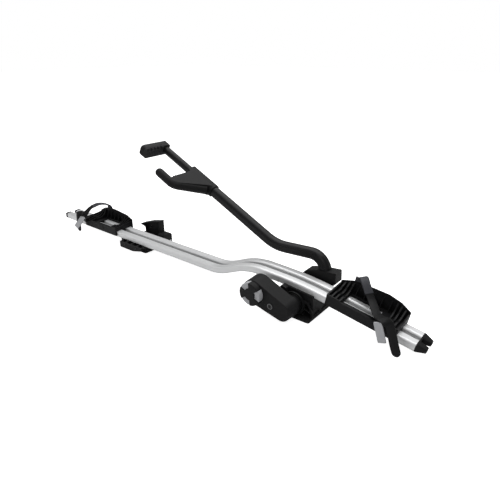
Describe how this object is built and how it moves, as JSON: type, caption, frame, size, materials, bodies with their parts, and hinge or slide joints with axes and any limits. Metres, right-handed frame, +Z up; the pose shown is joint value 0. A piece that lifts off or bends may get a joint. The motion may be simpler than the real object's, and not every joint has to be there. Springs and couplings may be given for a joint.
{
  "type": "roof mounted bike carrier",
  "caption": "Upright bike carrier for a car roof: bent two-lobed rail, foot with a hinged frame arm and clamping jaws turned by a dial, wheel trays with straps, rear bracket with a claw.",
  "frame": {"origin": "centre of the front foot's sole, where it rests on the car's front crossbar", "axes": "+X along the rail to its front end, +Y to the arm's side, +Z up"},
  "size_m": [1.4289, 0.2203, 0.3731],
  "materials": {
    "rail_metal": "satin anodised extrusion",
    "black_plastic": "fine moulded texture",
    "black_arm": "black anodised, semi gloss",
    "rubber": "matte",
    "anchor_grey": "smooth moulded",
    "grip_grey": "smooth moulded",
    "steel": "zinc plated",
    "brass": "turned",
    "lock_metal": "polished"
  },
  "bodies": {
    "base": {"rail": "rail_metal", "front_cap": "black_plastic", "rear_caps": "black_plastic", "foot_base": "black_plastic", "foot_pad": "rubber", "crossbar_nuts": "steel", "slot_nuts": "steel", "foot_slot_screw": "steel", "foot_clamp_screw": "steel", "pivot_bushes": "brass", "rear_bracket": "black_plastic", "rear_pad": "rubber", "bracket_slot_screws": "steel", "bracket_edge_screws": "steel", "claw_pin": "steel"},
    "claw": {"rear_claw": "black_plastic"},
    "arm": {"arm_socket": "black_plastic", "arm_tube": "black_arm", "pivot_shaft": "steel", "shaft_nut": "steel", "casing_body": "black_plastic", "casing_cover": "black_plastic", "casing_screws": "steel", "lock_ring": "lock_metal", "lower_jaw": "black_plastic", "lower_jaw_rubber": "rubber", "jaw_bush": "black_plastic", "screw_bearing": "black_plastic", "drive_cable": "steel", "socket_screws": "steel"},
    "dial": {"dial_hub": "black_plastic", "dial_grips": "grip_grey", "dial_spindle": "steel", "clutch_disc": "steel", "clutch_spring": "steel"},
    "screw": {"jaw_screw": "steel"},
    "jaw": {"jaw_bar": "black_arm", "upper_jaw": "black_plastic", "upper_jaw_rubber": "rubber", "jaw_nut": "brass"},
    "lock": {"lock_cylinder": "lock_metal"},
    "front_wheel": {"front_tray": "black_plastic", "front_anchor": "anchor_grey", "front_strap": "rubber", "front_buckle": "black_plastic", "front_lever_pin": "steel"},
    "front_release": {"front_lever": "grip_grey"},
    "rear_wheel": {"rear_tray": "black_plastic", "rear_anchor": "anchor_grey", "rear_strap": "rubber", "rear_buckle": "black_plastic", "rear_lever_pin": "steel"},
    "rear_release": {"rear_lever": "grip_grey"}
  },
  "joints": [
    {"name": "arm_fold", "type": "hinge", "parent": "base", "child": "arm", "pos_m": [-0.006, 0, 0.038], "axis": [0, 1, 0], "range_deg": [-15, 50]},
    {"name": "claw_swing", "type": "hinge", "parent": "base", "child": "claw", "pos_m": [-0.693, 0.088, 0.012], "axis": [-1, 0, 0], "range_deg": [0, 180]},
    {"name": "dial_turn", "type": "hinge", "parent": "arm", "child": "dial", "pos_m": [-0.093, -0.1165, 0.066], "axis": [0, 1, 0], "range_deg": [0, 900]},
    {"name": "screw_turn", "type": "hinge", "parent": "arm", "child": "screw", "pos_m": [-0.19, 0.06, 0.155], "axis": [-0.8959, 0, 0.4443], "range_deg": [0, 900]},
    {"name": "jaw_draw", "type": "slide", "parent": "arm", "child": "jaw", "axis": [0.8959, 0, -0.4443], "range_m": [0, 0.105]},
    {"name": "lock_turn", "type": "hinge", "parent": "arm", "child": "lock", "pos_m": [-0.038, -0.1, 0.044], "axis": [0, 1, 0], "range_deg": [0, 90]},
    {"name": "front_tray_slide", "type": "slide", "parent": "base", "child": "front_wheel", "axis": [0.9859, 0, -0.1676], "range_m": [-0.01, 0.03]},
    {"name": "rear_tray_slide", "type": "slide", "parent": "base", "child": "rear_wheel", "axis": [1, 0, 0], "range_m": [-0.12, 0.35]},
    {"name": "front_release_swing", "type": "hinge", "parent": "front_wheel", "child": "front_release", "pos_m": [0.22655, -0.055, 0.0717], "axis": [-0.9458, 0, -0.3248], "range_deg": [0, 55], "stiffness_Nm_per_rad": 0.02, "springref_deg": -17.19},
    {"name": "rear_release_swing", "type": "hinge", "parent": "rear_wheel", "child": "rear_release", "pos_m": [-0.93332, -0.055, 0.06964], "axis": [-0.866, 0, 0.5], "range_deg": [0, 55], "stiffness_Nm_per_rad": 0.02, "springref_deg": -17.19}
  ],
  "couplings": [
    {"joint": "screw_turn", "follows": "dial_turn", "ratio": 1},
    {"joint": "jaw_draw", "follows": "dial_turn", "m_per_rad": 0.0066845}
  ]
}
